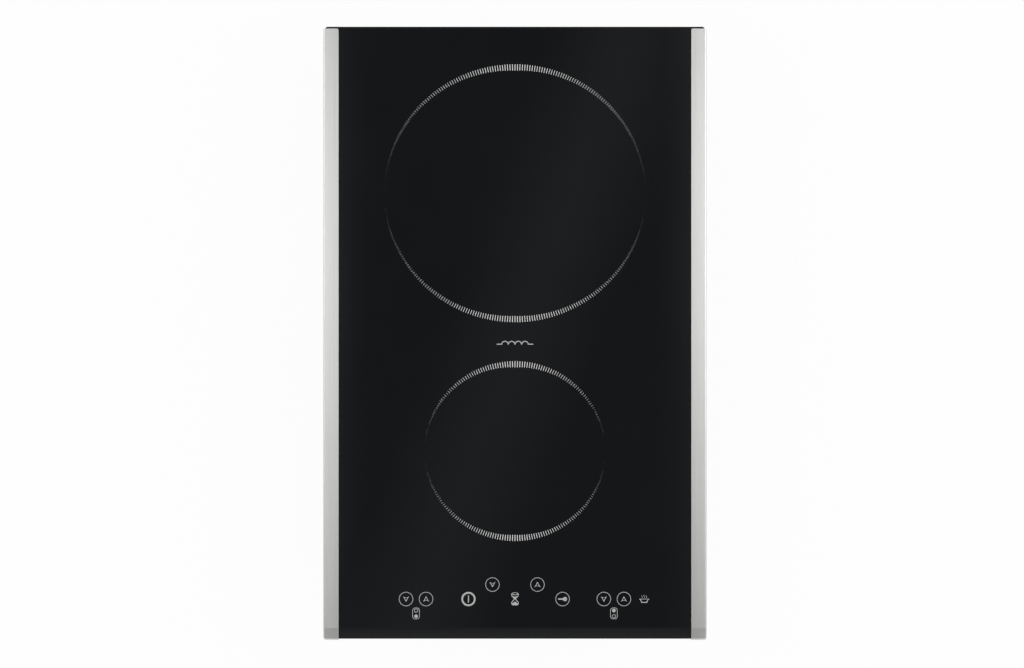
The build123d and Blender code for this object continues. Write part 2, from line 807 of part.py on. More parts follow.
def blower_outline(height):
    """The outside of the scroll, cut square across its outlet."""
    body = at_blower(extrude(offset(volute_face(), blower_wall, kind=Kind.INTERSECTION), height), 0)
    mouth = block(blower_x, blower_y + outlet_y - blower_wall, 0, overall_width, 2 * blower_wall, height)
    return body - mouth


def make_clip():
    """A clip on the outer wall at x = 0 that holds the cover down, over a foot pegged into the pan."""
    cover_z = volute_z1 + blower_wall
    root = block(clip_gap / 2, 0, blower_z0, blower_wall + clip_gap, clip_width, blower_height)
    arm = block(clip_gap + blower_wall / 2, 0, blower_z0, blower_wall, clip_width,
                cover_z + clip_height - blower_z0)
    reach = clip_bite + clip_gap + blower_wall
    barb = block(clip_gap + blower_wall - reach / 2, 0, cover_z, reach, clip_width, clip_height)
    foot = block(-blower_wall / 2, 0, sheet, foot_width, foot_width, blower_foot)
    peg = block(-blower_wall / 2, 0, peg_gap, peg_width, peg_width, sheet)
    return root + arm + barb + foot + peg


def make_blower_housing():
    body = Pos(0, 0, blower_z0) * blower_outline(volute_z1 - blower_z0)
    body += [place * make_clip() for place in blower_foot_places()]
    body -= at_blower(extrude(volute_face(), blower_height), volute_z0)
    return body - post(blower_x, blower_y, blower_z0, volute_z0, inlet_radius)


def make_blower_cover():
    return Pos(0, 0, volute_z1) * blower_outline(blower_wall)


def make_blower_motor():
    """The stator, hung under the cover inside the impeller's hub."""
    body = prism(blower_x, blower_y, volute_z1 - motor_height, volute_z1, motor_radius, motor_flat_count)
    seat = shaft_radius + bearing_clearance + bearing_wall + bearing_fit
    return body - prism(blower_x, blower_y, 0, volute_z1, seat, round_side_count)


def make_blower_bearing():
    """A bush with flat sides, so that it can't turn in the stator, and a round bore."""
    radius = shaft_radius + bearing_clearance
    body = prism(blower_x, blower_y, volute_z1 - motor_height, volute_z1, radius + bearing_wall,
                 round_side_count)
    return body - post(blower_x, blower_y, 0, volute_z1, radius)


hub_floor_z = volute_z1 - motor_height - motor_gap


def make_blower_shaft():
    return post(blower_x, blower_y, hub_floor_z, volute_z1 - shaft_end_gap, shaft_radius)


def polar(radius, turn):
    return radius * cos(radians(turn)), radius * sin(radians(turn))


def make_blade():
    """One forward-curved blade in plan, bent once in the middle."""
    rim = impeller_radius - blade_inset
    bend = ((blade_inner + rim) / 2, blade_sweep / 2 - blade_bow)
    front = [(blade_inner, 0), bend, (rim, blade_sweep)]
    back = [(radius, turn + blade_spread) for radius, turn in reversed(front)]
    return make_face(Polyline(*[polar(*corner) for corner in front + back], close=True))


def make_impeller():
    """A hub cup round the motor, a disc and the blades that hang under it."""
    low = volute_z0 + impeller_gap
    high = volute_z1 - impeller_gap
    hub = motor_radius + motor_gap + hub_shell
    sides = 2 * blade_count
    body = prism(0, 0, high - impeller_disc, high, impeller_radius, sides)
    body += prism(0, 0, hub_floor_z - hub_floor, high, hub, sides)
    body += around(blade_count, Pos(0, 0, low) * extrude(make_blade(), high - low))
    return at_blower(body - prism(0, 0, hub_floor_z, high, hub - hub_shell, sides), 0)


# Touch controls

def key_places():
    pairs = [(side * zone_key_x + step, key_y) for side in (-1, 1) for step in spread(2, zone_key_pitch)]
    singles = [(side * side_key_x, key_y) for side in (-1, 1)]
    return pairs + singles + [(side * timer_key_x, timer_y) for side in (-1, 1)]


def make_control_tray():
    body = slab(control, control_tray_z0, control_z0)
    body -= slab(grow(control, -control_tray_wall), control_tray_z1, control_z0)
    legs = grow(control, -control_leg_inset)
    leg = (control_leg_width, control_leg_width, control_tray_z0 - sheet)
    body += [block(x, y, sheet, *leg) for x in (legs.x0, legs.x1) for y in (legs.y0, legs.y1)]
    x, y = middle(control)
    window = (ribbon_width + 2 * ribbon_window, ribbon_thickness + 2 * ribbon_window)
    return body - block(x, y, control_tray_z0, *window, control_tray_floor)


def make_control_board():
    return slab(control, control_z0, control_z1)


def make_touch_contacts():
    return [block(x, y, control_z1, contact_width, contact_width, contact_height) for x, y in key_places()]


def make_displays():
    zones = [block(side * zone_key_x, key_y + display_row, control_z1, *zone_display, contact_height)
             for side in (-1, 1)]
    return zones + [block(0, timer_y, control_z1, *timer_display, contact_height)]


def make_buzzer():
    outline = grow(Rect(buzzer_x, timer_y, buzzer_x, timer_y), buzzer_width / 2)
    return slab(outline, control_z1, control_z1 + buzzer_height, buzzer_clip)


def make_ribbon():
    x, y = middle(control)
    landing_y = board.y0 + ribbon_landing
    path = FilletPolyline((x, y, control_z0), (x, y, ribbon_z), (x, landing_y, ribbon_z),
                          (x, landing_y, board_z1), radius=ribbon_bend)
    start = Plane((x, y, control_z0), x_dir=(1, 0, 0), z_dir=(0, 0, -1))
    return sweep(start * Rectangle(ribbon_width, ribbon_thickness), path=path)


# Mains inlet

def inlet_axis():
    """On the outer face of the rear wall, with the normal pointing out to the back."""
    return Plane((inlet_x, pan.y1, gland_height), x_dir=(1, 0, 0), z_dir=(0, 1, 0))


def make_gland():
    """A bush with a hexagon flange, keyed in the rear wall, and the collar that holds it from inside."""
    length = sheet + nut_thickness
    bush = prism(0, 0, 0, gland_flange, gland_flange_radius, 6) + prism(0, 0, -length, 0, gland_radius)
    bush -= Cylinder(cable_radius, 4 * length)
    nut = Pos(0, 0, -length) * extrude(RegularPolygon(nut_across / 2, 6, major_radius=False), nut_thickness)
    nut -= prism(0, 0, -length, 0, gland_radius + gland_fit)
    return [inlet_axis() * bush, inlet_axis() * nut]


def make_cable_clamp():
    """Two halves whose flat-sided grooves grip the cable behind the gland."""
    bore = extrude(RegularPolygon(cable_radius, 8, major_radius=False), saddle_depth, both=True)
    bore = Plane((inlet_x, saddle_y, gland_height), z_dir=(0, 1, 0)) * bore
    base = block(inlet_x, saddle_y, sheet, saddle_width, saddle_depth, gland_height - sheet)
    strap = block(inlet_x, saddle_y, gland_height, saddle_width, saddle_depth, cable_radius + saddle_strap)
    return [base - bore, strap - bore]


def make_terminal_block():
    width, depth, height = terminal_size
    body = block(inlet_x, terminal_y, sheet, width, depth, height)
    well_z = sheet + height - terminal_well_depth
    well = block(inlet_x, terminal_y, well_z, terminal_well, terminal_well, terminal_well_depth)
    return body - [Pos(step, 0, 0) * well for step in spread(terminal_wells, width / terminal_wells)]


os.makedirs("parts", exist_ok=True)
right_trim = make_trim()
save("glass_plate", make_glass())
save("trim_right", right_trim)
save("trim_left", mirror(right_trim, about=Plane.YZ))
save("worktop_seal", make_seal())
save("glass_bond", make_bond())
save("glass_frame", make_frame())
save("base_pan", make_pan())
save("pan_screws", *make_pan_screws())
save_clamps()
for zone, zone_y, radius, bar_width, drops in (
        ("large", large_y, large_winding_radius, large_ferrite_width, large_leads),
        ("small", small_y, small_winding_radius, small_ferrite_width, small_leads)):
    save(f"coil_former_{zone}", make_former(zone_y, radius, bar_width, drops))
    save(f"coil_winding_{zone}", make_winding(zone_y, radius))
    save(f"ferrite_bars_{zone}", *make_ferrites(zone_y, radius, bar_width))
    save(f"mica_sheet_{zone}", make_mica(zone_y, radius))
    save(f"temperature_sensor_{zone}", make_sensor(zone_y))
    save(f"coil_leads_{zone}", *make_leads(drops))
save("coil_plate", make_coil_plate())
save("plate_brackets", *make_plate_brackets())
save("board_tray", make_board_tray())
save("power_board", make_power_board())
save("heat_sink", make_heat_sink())
save("power_transistors", *make_transistors())
save("film_capacitors", *make_capacitors())
save("filter_choke", *make_choke())
save("blower_housing", make_blower_housing())
save("blower_cover", make_blower_cover())
save("blower_motor", make_blower_motor())
save("blower_bearing", make_blower_bearing())
save("blower_shaft", make_blower_shaft())
save("blower_impeller", make_impeller())
save("control_tray", make_control_tray())
save("control_board", make_control_board())
save("touch_contacts", *make_touch_contacts())
save("level_displays", *make_displays())
save("buzzer", make_buzzer())
save("ribbon_cable", make_ribbon())
save("cable_gland", *make_gland())
save("cable_clamp", *make_cable_clamp())
save("terminal_block", make_terminal_block())
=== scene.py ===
import json
from math import acos, atan2, cos, degrees, hypot, pi, radians, sin, sqrt

import bmesh
import bpy
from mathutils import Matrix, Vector
from mathutils.geometry import tessellate_polygon


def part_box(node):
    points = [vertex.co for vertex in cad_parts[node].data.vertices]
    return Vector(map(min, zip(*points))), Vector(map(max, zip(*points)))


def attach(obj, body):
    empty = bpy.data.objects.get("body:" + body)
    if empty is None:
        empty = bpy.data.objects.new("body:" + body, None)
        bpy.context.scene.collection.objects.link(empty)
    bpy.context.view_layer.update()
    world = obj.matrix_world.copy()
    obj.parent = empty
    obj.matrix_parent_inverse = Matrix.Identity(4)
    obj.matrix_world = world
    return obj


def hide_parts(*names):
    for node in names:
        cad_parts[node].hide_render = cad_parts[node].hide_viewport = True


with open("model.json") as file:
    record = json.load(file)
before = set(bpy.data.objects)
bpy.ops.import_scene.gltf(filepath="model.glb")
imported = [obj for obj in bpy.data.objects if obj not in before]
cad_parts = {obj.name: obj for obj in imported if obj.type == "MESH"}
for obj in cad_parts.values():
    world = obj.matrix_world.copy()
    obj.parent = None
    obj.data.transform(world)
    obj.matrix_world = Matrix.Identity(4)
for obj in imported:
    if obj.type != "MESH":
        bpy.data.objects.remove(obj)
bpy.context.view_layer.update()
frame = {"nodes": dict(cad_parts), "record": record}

MM = 0.001
ROOT = "cooktop"
CORNERS = ("front_left", "front_right", "rear_left", "rear_right")


def middle_of(node):
    """The place of a node's middle in plan, in millimetres."""
    low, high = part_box(node)
    return (low.x + high.x) / 2 / MM, (low.y + high.y) / 2 / MM


# The print on the glass, in millimetres in the part's own frame
GLASS_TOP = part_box("glass_plate")[1].z / MM
PRINT_THICKNESS = 0.03

# Zone rings, each over its coil: radius at the front and back, radius at the sides, and ticks
LARGE_ZONE = middle_of("mica_sheet_large")
LARGE_RADIUS = 104.25
LARGE_SIDE_RADIUS = 105.8
LARGE_TICKS = 320
SMALL_ZONE = middle_of("mica_sheet_small")
SMALL_RADIUS = 72.7
SMALL_SIDE_RADIUS = 73.15
SMALL_TICKS = 224
TICK_LENGTH = 5.0
TICK_WIDTH = 0.62
TICK_TAPER = 1.33
LEAST_TICK_SHARE = 0.02

# Control marks
KEY_Y = -214.8
TIMER_Y = -203.1
INDICATOR_Y = -226.4
ZONE_X = 80.0
ZONE_KEY_STEP = 8.1
TIMER_X = 18.2
POWER_X = -37.6
LOCK_X = 38.5
POT_X = 104.5
COIL_MARK_Y = -9.1
KEY_RADIUS = 5.75
KEY_LINE = 0.45
POWER_LINE = 1.38
POWER_BAR = (0.84, 5.8)
STEAM_LINE = 0.28
STEAM_SWING = 0.35
STEAM_FOOT = 0.9

# Zone indicators: a plate and its opening as width, height and corner radius, and the two dots in it
PLATE = (5.9, 9.3, 2.25)
PLATE_OPENING = (5.05, 8.45, 1.8)
DOT_RADIUS = 1.45
OPEN_DOT_RADIUS = 1.6
DOT_STEP = 2.3

# Finish of the glass: reach of its ground slope, across which a painted sheen lightens the colour, and of
# its seamed edges in millimetres, and their shine
GROUND_SLOPE = 9.0
SEAMED_EDGE = 0.8
SEAM_BLEND = 0.1
SEAM_ROUGHNESS = 0.6
GLASS_SPECULAR = 0.5
SEAM_SPECULAR = 0.02

# Distance between the turns of a coil winding, in millimetres
WINDING_PITCH = 3.4

# Clamp screws, in millimetres: the face of the head in (radius, height) steps, then neck and thread
HEAD_FLAT = 3.75
HEAD_FACE = ((1.2, 0.25), (2.6, 0.2), (2.9, 0.0), (HEAD_FLAT, 0.0))
HEAD_HEIGHT = 2.4
CHAMFER_RISE = 0.05
CHAMFER_SLOPE = 0.35
NECK_LENGTH = 0.9
NECK_FILLET = 0.15
THREAD_MAJOR = 2.5
THREAD_MINOR = 2.02
THREAD_PITCH = 0.8
THREAD_STEPS = 4
THREAD_END = 0.5
POINT_LENGTH = 0.25
POINT_TAPER = 0.35
SCREW_SIDES = 24

# Floor: the gap under the pan in millimetres, its size in metres, its tone and how much of it glows
FLOOR_GAP = 0.2
FLOOR_SIZE = 40.0
FLOOR_COLOUR = (0.93, 0.93, 0.93, 1.0)
FLOOR_GLOW = 0.96

# Reflector cards over the object, in metres, with their levels as (place, level) stops
CARD_HEIGHT = 1.25
SHEEN_X = 0.0081
SHEEN_SIZE = (0.195, 1.6)
SHEEN_TURN = -20.1
SHEEN_GLOW = 0.112
SHEEN_ACROSS = ((0.0, 0.0), (1.0, 0.0), (0.5, 1.0))
SHEEN_ALONG = ((0.0, 1.0), (1.0, 1.0))
TRIM_CARD_START = 0.158
TRIM_CARD_SIZE = (0.7, 0.8)
TRIM_GLOW = 2.65
TRIM_OUTWARDS = ((0.0, 0.0), (1.0, 0.0), (0.03, 0.02), (0.05, 0.06), (0.22, 1.0), (0.5, 0.75), (0.8, 0.65))
LEFT_TRIM_ALONG = ((0.0, 0.73), (1.0, 0.53), (0.14, 0.72), (0.26, 0.92), (0.45, 1.0), (0.62, 0.80),
                   (0.82, 0.65))
RIGHT_TRIM_ALONG = ((0.0, 0.53), (1.0, 1.0), (0.19, 0.48), (0.38, 0.64), (0.55, 0.95), (0.75, 1.0))

# World levels from the horizon to straight overhead, and the lamps with place, size and power
WORLD_LEVELS = ((0.0, 1.0), (0.35, 1.0), (0.70, 0.45), (0.87, 0.14), (0.985, 0.115), (1.0, 0.10))
LAMPS = (
    ("lamp_left", (-1.9, 0.5, 1.5), (1.2, 1.6), 10.0),
    ("lamp_right", (1.9, 0.4, 1.5), (1.2, 1.6), 14.0),
    ("lamp_front", (0.0, -2.1, 1.6), (1.8, 1.0), 8.0),
)
LAMP_AIM = (0.0, 0.0, 0.03)

# The camera hangs straight over the glass, in metres, with its lens in millimetres
CAMERA_HEIGHT = 3.45
CAMERA_X = -0.0024
CAMERA_Y = -0.0005
CAMERA_LENS = 150.0
SENSOR_WIDTH = 36.0


# Procedural materials

class Nodes:
    """Short calls for one node tree."""

    def __init__(self, tree):
        self.tree = tree

    def put(self, node, socket, value):
        """Links an output to a socket, or sets the socket to a plain value."""
        if isinstance(value, bpy.types.NodeSocket):
            self.tree.links.new(value, node.inputs[socket])
        else:
            node.inputs[socket].default_value = value

    def add(self, kind, inputs=None, **settings):
        node = self.tree.nodes.new(kind)
        for key, value in settings.items():
            setattr(node, key, value)
        for socket, value in (inputs or {}).items():
            self.put(node, socket, value)
        return node

    def axis(self, vector, name):
        return self.add("ShaderNodeSeparateXYZ", {"Vector": vector}).outputs[name]

    def calc(self, operation, a, b=0.0):
        return self.add("ShaderNodeMath", {0: a, 1: b}, operation=operation).outputs["Value"]

    def mixed(self, factor, a, b, blend="MIX"):
        """Two colours mixed, or one laid over the other."""
        return self.add("ShaderNodeMix", {"Factor": factor, 6: a, 7: b},
                        data_type="RGBA", blend_type=blend).outputs[2]

    def ramp(self, value, stops, interpolation="LINEAR"):
        """A colour ramp through (place, colour) stops, of which the first two are its ends."""
        node = self.add("ShaderNodeValToRGB", {"Fac": value})
        node.color_ramp.interpolation = interpolation
        elements = node.color_ramp.elements
        for k, (where, colour) in enumerate(stops):
            stop = elements[k] if k < 2 else elements.new(where)
            stop.position = where
            stop.color = (*colour, 1.0)
        return node.outputs["Color"]

    def greys(self, value, stops, interpolation="LINEAR"):
        return self.ramp(value, [(where, (level, level, level)) for where, level in stops], interpolation)


class Paint(Nodes):
    """A node material on the part's own coordinates, in metres."""

    def __init__(self, name, **sockets):
        self.material = bpy.data.materials.new(name)
        self.material.use_nodes = True
        super().__init__(self.material.node_tree)
        self.shader = self.tree.nodes["Principled BSDF"]
        self.place = self.add("ShaderNodeTexCoord").outputs["Object"]
        for socket, value in sockets.items():
            self.set(socket, value)

    def set(self, socket, value):
        self.put(self.shader, socket, value)

    def stretched(self, x, y, z):
        """The coordinates scaled along each axis, in cycles per metre."""
        return self.add("ShaderNodeMapping", {"Vector": self.place, "Scale": (x, y, z)}).outputs["Vector"]

    def noise(self, scale, detail=3.0, roughness=0.55, vector=None):
        return self.add("ShaderNodeTexNoise", {
            "Vector": vector or self.place, "Scale": scale, "Detail": detail,
            "Roughness": roughness}).outputs["Fac"]

    def cells(self, scale, output="Distance"):
        return self.add("ShaderNodeTexVoronoi", {"Vector": self.place, "Scale": scale}).outputs[output]

    def cell_tone(self, scale, channel):
        """One random level for each cell."""
        colour = self.cells(scale, "Color")
        return self.add("ShaderNodeSeparateColor", {"Color": colour}).outputs[channel]

    def spread(self, value, low, high, start=0.3, end=0.7):
        """A value between two texture levels, mapped to a range."""
        return self.add("ShaderNodeMapRange", {
            "Value": value, "From Min": start, "From Max": end,
            "To Min": low, "To Max": high}).outputs["Result"]

    def between(self, value, low, high, start=0.3, end=0.7):
        """A colour that goes from low to high with a texture."""
        return self.ramp(value, ((start, low), (end, high)))

    def blended(self, a, share_a, b, share_b):
        """Two textures added in given shares."""
        return self.calc("ADD", self.calc("MULTIPLY", a, share_a), self.calc("MULTIPLY", b, share_b))

    def bump(self, height, strength, distance):
        node = self.add("ShaderNodeBump", {"Height": height, "Strength": strength, "Distance": distance})
        self.set("Normal", node.outputs["Normal"])


def shade(colour, factor):
    return tuple(c * factor for c in colour)


def black_glass():
    """Polished black, with a painted sheen that lightens the colour across the ground slope towards the
    front edge, and matt seamed edges.
    """
    paint = Paint("black_glass", IOR=1.52)
    body = paint.between(paint.noise(9.0), (0.0042, 0.0048, 0.0060), (0.0054, 0.0061, 0.0077))
    along = paint.axis(paint.place, "Y")
    front, rear = (corner.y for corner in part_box("glass_plate"))
    # Painted sheen: the colour lightens across the ground slope, from its top to the front edge of the
    # glass.
    painted_bevel_sheen = paint.spread(along, 0.0, 1.0, front + GROUND_SLOPE * MM, front)
    from_middle = paint.calc("ABSOLUTE", paint.calc("SUBTRACT", along, (front + rear) / 2))
    edge_start = (rear - front) / 2 - SEAMED_EDGE * MM
    seam = paint.spread(from_middle, 0.0, 1.0, edge_start - SEAM_BLEND * MM, edge_start)
    # Painted sheen: the ground slope's colour goes to this lighter grey at the front edge.
    paint.set("Base Color", paint.mixed(painted_bevel_sheen, body, (0.014, 0.0144, 0.0152, 1.0)))
    smear = paint.noise(1.0, 4.0, 0.6, paint.stretched(26.0, 11.0, 20.0))
    polish = paint.spread(smear, 0.035, 0.075)
    paint.set("Roughness", paint.calc("ADD", polish, paint.calc("MULTIPLY", seam, SEAM_ROUGHNESS)))
    paint.set("Specular IOR Level", paint.spread(seam, GLASS_SPECULAR, SEAM_SPECULAR, 0.0, 1.0))
    return paint.material


def brushed_steel():
    """Fine scratches along the trim, over a slow change of tone, with painted shade that makes it a touch
    darker next to the glass and lighter at the outer edge.
    """
    paint = Paint("trim_steel", Metallic=1.0, Anisotropic=0.75)
    fine = paint.noise(1.0, 5.0, 0.7, paint.stretched(5200.0, 46.0, 5200.0))
    broad = paint.noise(1.0, 3.0, 0.6, paint.stretched(900.0, 14.0, 900.0))
    both = paint.blended(fine, 0.6, broad, 0.4)
    grain = paint.between(both, (0.515, 0.52, 0.511), (0.625, 0.63, 0.616))
    # Painted shade: the colour is darkened next to the glass and lightened towards the outer edge of the
    # trim.
    from_middle = paint.calc("ABSOLUTE", paint.axis(paint.place, "X"))
    inner, outer = (corner.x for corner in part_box("trim_right"))
    tone = paint.spread(from_middle, 0.93, 1.06, inner, outer)
    paint.set("Base Color", paint.mixed(1.0, grain, tone, "MULTIPLY"))
    paint.set("Roughness", paint.spread(both, 0.42, 0.30))
    across = paint.add("ShaderNodeCombineXYZ", {"X": 1.0, "Y": 0.0, "Z": 0.0})
    paint.set("Tangent", across.outputs["Vector"])
    paint.bump(both, 0.16, 0.00004)
    return paint.material


def printed_enamel(name, grey):
    """Fired print, a touch uneven."""
    paint = Paint(name, IOR=1.5)
    colour = (grey, grey, 0.99 * grey)
    paint.set("Base Color", paint.between(paint.noise(1400.0), shade(colour, 0.9), shade(colour, 1.1)))
    paint.set("Roughness", paint.spread(paint.noise(5200.0), 0.45, 0.65))
    paint.bump(paint.noise(6000.0), 0.2, 0.00002)
    return paint.material


def galvanised_steel():
    """Fine zinc spangle, a few millimetres across, over the streaks of the rolled sheet."""
    paint = Paint("galvanised_steel", Metallic=1.0)
    streak = paint.noise(1.0, 5.0, 0.7, paint.stretched(60.0, 900.0, 900.0))
    tone = paint.blended(paint.cell_tone(240.0, "Red"), 0.45, streak, 0.55)
    paint.set("Base Color", paint.between(tone, (0.30, 0.31, 0.325), (0.50, 0.51, 0.52), 0.2, 0.8))
    paint.set("Roughness", paint.spread(tone, 0.48, 0.32, 0.2, 0.8))
    paint.bump(tone, 0.12, 0.0001)
    return paint.material


def plated_steel(name, low, high, roughness, stretch):
    """Plain metal with the marks of drawing or rolling."""
    paint = Paint(name, Metallic=1.0)
    drawn = paint.noise(1.0, 4.0, 0.6, paint.stretched(*stretch))
    paint.set("Base Color", paint.between(drawn, low, high))
    paint.set("Roughness", paint.spread(drawn, *roughness))
    paint.bump(drawn, 0.15, 0.00005)
    return paint.material


def moulding(name, colour, roughness, grain=2600.0, depth=0.00003, variation=0.12):
    """Moulded plastic or rubber: a spark-eroded grain and a slight change of tone."""
    paint = Paint(name, IOR=1.5)
    tone = paint.noise(38.0)
    paint.set("Base Color", paint.between(tone, shade(colour, 1 - variation), shade(colour, 1 + variation)))
    grain_height = paint.noise(grain, 2.0)
    paint.set("Roughness", paint.spread(grain_height, roughness - 0.07, roughness + 0.07))
    paint.bump(grain_height, 0.35, depth)
    return paint.material


def wound_copper(name, centre):
    """Flat turns of stranded wire, drawn as rings about the coil's own axis."""
    paint = Paint(name, Metallic=1.0)
    offset = paint.add("ShaderNodeMapping", {
        "Vector": paint.place, "Location": (-centre[0] * MM, -centre[1] * MM, 0.0),
        "Scale": (1.0, 1.0, 0.0)}).outputs["Vector"]
    radius = paint.add("ShaderNodeVectorMath", {0: offset}, operation="LENGTH").outputs["Value"]
    turn = paint.calc("SINE", paint.calc("MULTIPLY", radius, 2 * pi / (WINDING_PITCH * MM)))
    strand = paint.noise(2400.0, 3.0)
    height = paint.calc("ADD", paint.calc("MULTIPLY", turn, 0.4), strand)
    paint.set("Base Color", paint.between(height, (0.30, 0.11, 0.045), (0.72, 0.36, 0.19), 0.1, 0.9))
    paint.set("Roughness", paint.spread(strand, 0.32, 0.5))
    paint.bump(height, 0.6, 0.0006)
    return paint.material


def pressed_mica():
    paint = Paint("mica", IOR=1.58)
    flake = paint.cell_tone(420.0, "Green")
    paint.set("Base Color", paint.between(flake, (0.36, 0.30, 0.22), (0.52, 0.45, 0.34), 0.1, 0.9))
    paint.set("Roughness", paint.spread(flake, 0.28, 0.6, 0.1, 0.9))
    paint.bump(flake, 0.3, 0.00008)
    return paint.material


def sintered_ferrite():
    paint = Paint("ferrite", IOR=2.2)
    speckle = paint.noise(3200.0, 2.0)
    paint.set("Base Color", paint.between(speckle, (0.028, 0.028, 0.030), (0.07, 0.07, 0.074)))
    paint.set("Roughness", paint.spread(speckle, 0.6, 0.82))
    paint.bump(speckle, 0.4, 0.00005)
    return paint.material


def circuit_board():
    """Green resist over copper tracks, with bare pads here and there."""
    paint = Paint("circuit_board", IOR=1.5)
    tracks = paint.add("ShaderNodeTexBrick", {
        "Vector": paint.stretched(150.0, 90.0, 0.0), "Scale": 1.0, "Mortar Size": 0.05,
        "Color1": (0.012, 0.11, 0.045, 1.0), "Color2": (0.018, 0.15, 0.06, 1.0),
        "Mortar": (0.05, 0.27, 0.12, 1.0)})
    pads = paint.spread(paint.cells(260.0), 1.0, 0.0, 0.10, 0.14)
    paint.set("Base Color", paint.mixed(pads, tracks.outputs["Color"], (0.55, 0.50, 0.40, 1.0)))
    paint.set("Roughness", paint.spread(paint.noise(900.0), 0.25, 0.42))
    paint.bump(tracks.outputs["Fac"], 0.25, 0.00006)
    return paint.material


def open_foam(name, colour):
    paint = Paint(name, IOR=1.45)
    pores = paint.cells(1500.0)
    paint.set("Base Color", paint.between(pores, shade(colour, 0.5), shade(colour, 1.3), 0.1, 0.6))
    paint.set("Roughness", paint.spread(pores, 0.85, 1.0, 0.1, 0.6))
    paint.bump(pores, 0.7, 0.0004)
    return paint.material


def display_filter():
    paint = Paint("display_face", IOR=1.5)
    paint.set("Base Color", paint.between(paint.noise(300.0), (0.05, 0.010, 0.010), (0.09, 0.020, 0.018)))
    paint.set("Roughness", paint.spread(paint.noise(1500.0), 0.10, 0.2))
    return paint.material


slot_paints = {
    "black_glass": black_glass(),
    "trim_steel": brushed_steel(),
    "seal_foam": open_foam("seal_foam", (0.035, 0.035, 0.036)),
    "silicone": moulding("silicone", (0.022, 0.022, 0.023), 0.5, 900.0),
    "galvanised_steel": galvanised_steel(),
    "zinc_steel": plated_steel("zinc_steel", (0.50, 0.51, 0.52), (0.68, 0.68, 0.66), (0.24, 0.40),
                               (900.0, 900.0, 500.0)),
    "spring_steel": plated_steel("spring_steel", (0.38, 0.38, 0.36), (0.54, 0.53, 0.48), (0.30, 0.46),
                                 (1500.0, 240.0, 1500.0)),
    "aluminium_sheet": plated_steel("aluminium_sheet", (0.66, 0.67, 0.68), (0.80, 0.81, 0.82), (0.28, 0.44),
                                    (2200.0, 60.0, 2200.0)),
    "copper_litz": wound_copper("copper_litz", LARGE_ZONE),
    "ferrite": sintered_ferrite(),
    "mica": pressed_mica(),
    "former_plastic": moulding("former_plastic", (0.045, 0.045, 0.046), 0.58, 1800.0, 0.00005),
    "sensor_body": moulding("sensor_body", (0.74, 0.73, 0.68), 0.45, variation=0.05),
    "circuit_board": circuit_board(),
    "tray_plastic": moulding("tray_plastic", (0.62, 0.62, 0.60), 0.5, variation=0.05),
    "package_epoxy": moulding("package_epoxy", (0.024, 0.024, 0.025), 0.55, 3600.0),
    "capacitor_case": moulding("capacitor_case", (0.52, 0.40, 0.09), 0.34, 1500.0, variation=0.07),
    "blower_plastic": moulding("blower_plastic", (0.030, 0.030, 0.031), 0.5, 2200.0, 0.00005),
    "bearing_bronze": plated_steel("bearing_bronze", (0.34, 0.21, 0.09), (0.52, 0.34, 0.16), (0.3, 0.5),
                                   (1500.0, 1500.0, 1500.0)),
    "contact_rubber": open_foam("contact_rubber", (0.04, 0.04, 0.04)),
    "display_face": display_filter(),
    "cable_sleeve": moulding("cable_sleeve", (0.48, 0.48, 0.47), 0.55, 1600.0, variation=0.08),
    "terminal_plastic": moulding("terminal_plastic", (0.76, 0.76, 0.73), 0.42, variation=0.05),
    "gland_plastic": moulding("gland_plastic", (0.035, 0.035, 0.036), 0.5, 2000.0, 0.00005),
}
node_paints = {"coil_winding_small": wound_copper("copper_litz_small", SMALL_ZONE)}
mark_paint = printed_enamel("mark_enamel", 0.53)
ring_paint = printed_enamel("ring_enamel", 0.86)

for part in frame["record"]["subparts"]:
    node = frame["nodes"][part["node"]]
    node.data.materials.clear()
    node.data.materials.append(node_paints.get(part["node"], slot_paints[part["material_slot"]]))


# Flat outlines for the print, as [outer loop, hole, hole, ...] in millimetres

def circle(radius, x=0.0, y=0.0, count=48, squash=1.0):
    turns = [2 * pi * k / count for k in range(count)]
    return [(x + radius * cos(t), y + squash * radius * sin(t)) for t in turns]


def ring(radius, line, x=0.0, y=0.0):
    return [circle(radius, x, y), circle(radius - line, x, y)]


def arc(radius, start, end, x=0.0, y=0.0, count=16):
    """Points on an arc between two angles in degrees."""
    turns = [radians(start + (end - start) * k / count) for k in range(count + 1)]
    return [(x + radius * cos(t), y + radius * sin(t)) for t in turns]


def rounded(width, height, radius):
    """A rectangle with round corners about the origin."""
    x = width / 2 - radius
    y = height / 2 - radius
    outline = []
    for quarter, (side_x, side_y) in enumerate(((1, 1), (-1, 1), (-1, -1), (1, -1))):
        outline += arc(radius, 90 * quarter, 90 * (quarter + 1), side_x * x, side_y * y, 8)
    return outline


def rectangle(width, height):
    """A rectangle about the origin."""
    x = width / 2
    y = height / 2
    return [(-x, -y), (x, -y), (x, y), (-x, y)]


def mirrored(left):
    """The left side of an outline and then its mirror image, back to the same height on the right."""
    return left + [(-x, y) for x, y in reversed(left)]


def stroke(points, width):
    """A line of even width along some points."""
    left = []
    right = []
    for k, (x, y) in enumerate(points):
        before = points[max(k - 1, 0)]
        after = points[min(k + 1, len(points) - 1)]
        run_x = after[0] - before[0]
        run_y = after[1] - before[1]
        half = width / 2 / hypot(run_x, run_y)
        left.append((x - half * run_y, y + half * run_x))
        right.append((x + half * run_y, y - half * run_x))
    return left + right[::-1]


def moved(shapes, x, y, flip=1.0):
    return [[[(x + px, y + flip * py) for px, py in loop] for loop in shape] for shape in shapes]


# Closed meshes that ride on a body

